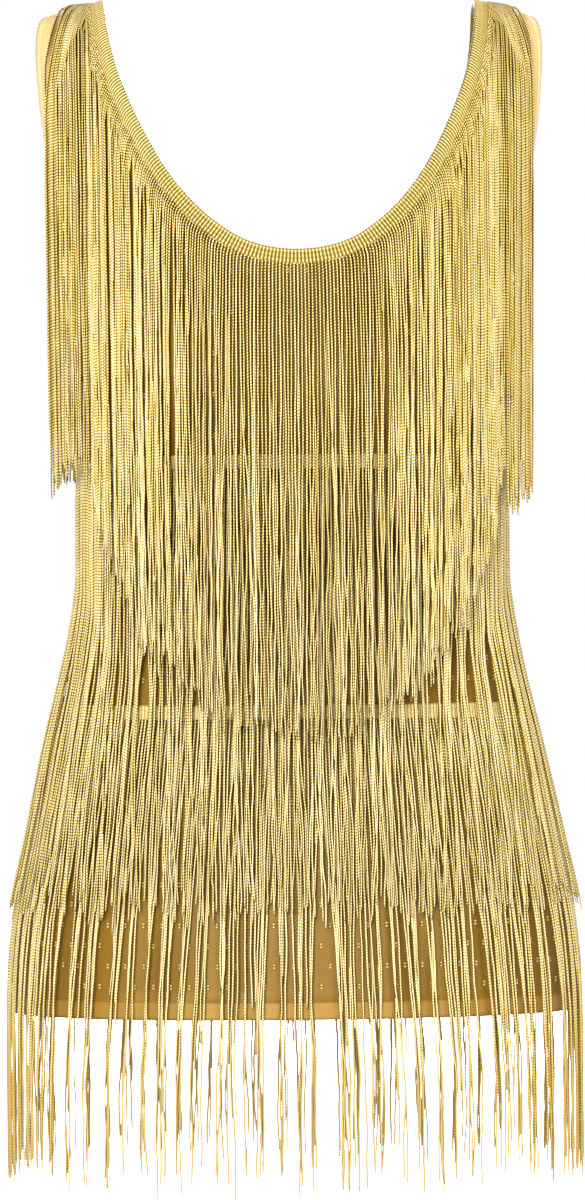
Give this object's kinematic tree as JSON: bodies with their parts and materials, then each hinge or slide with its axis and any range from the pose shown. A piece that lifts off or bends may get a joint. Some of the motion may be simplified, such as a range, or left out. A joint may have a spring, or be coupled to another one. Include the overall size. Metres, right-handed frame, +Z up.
{
  "type": "fringed sleeveless dress",
  "caption": "Sleeveless scoop-neck mini dress with a plain stretch body and tiers of long hanging fringe at neck, chest and hip, in the hollow form of a worn garment.",
  "frame": {"origin": "midway between the two shoulder lines, at the height where a wearer's shoulders hold the straps", "axes": "+Z up, -Y towards the front, +X to the wearer's left, which a viewer in front sees on the right"},
  "size_m": [0.3918, 0.2625, 0.7972],
  "materials": {
    "dress_cloth": "tan-gold satin stretch cloth",
    "fringe": "gold rayon chain-stitch fringe"
  },
  "bodies": {
    "root": {"front_panel": "dress_cloth", "back_panel": "dress_cloth", "neck_fringe_front": "fringe", "neck_fringe_back": "fringe", "chest_fringe_front": "fringe", "chest_fringe_back": "fringe", "hip_fringe_front": "fringe", "hip_fringe_back": "fringe"}
  },
  "joints": []
}
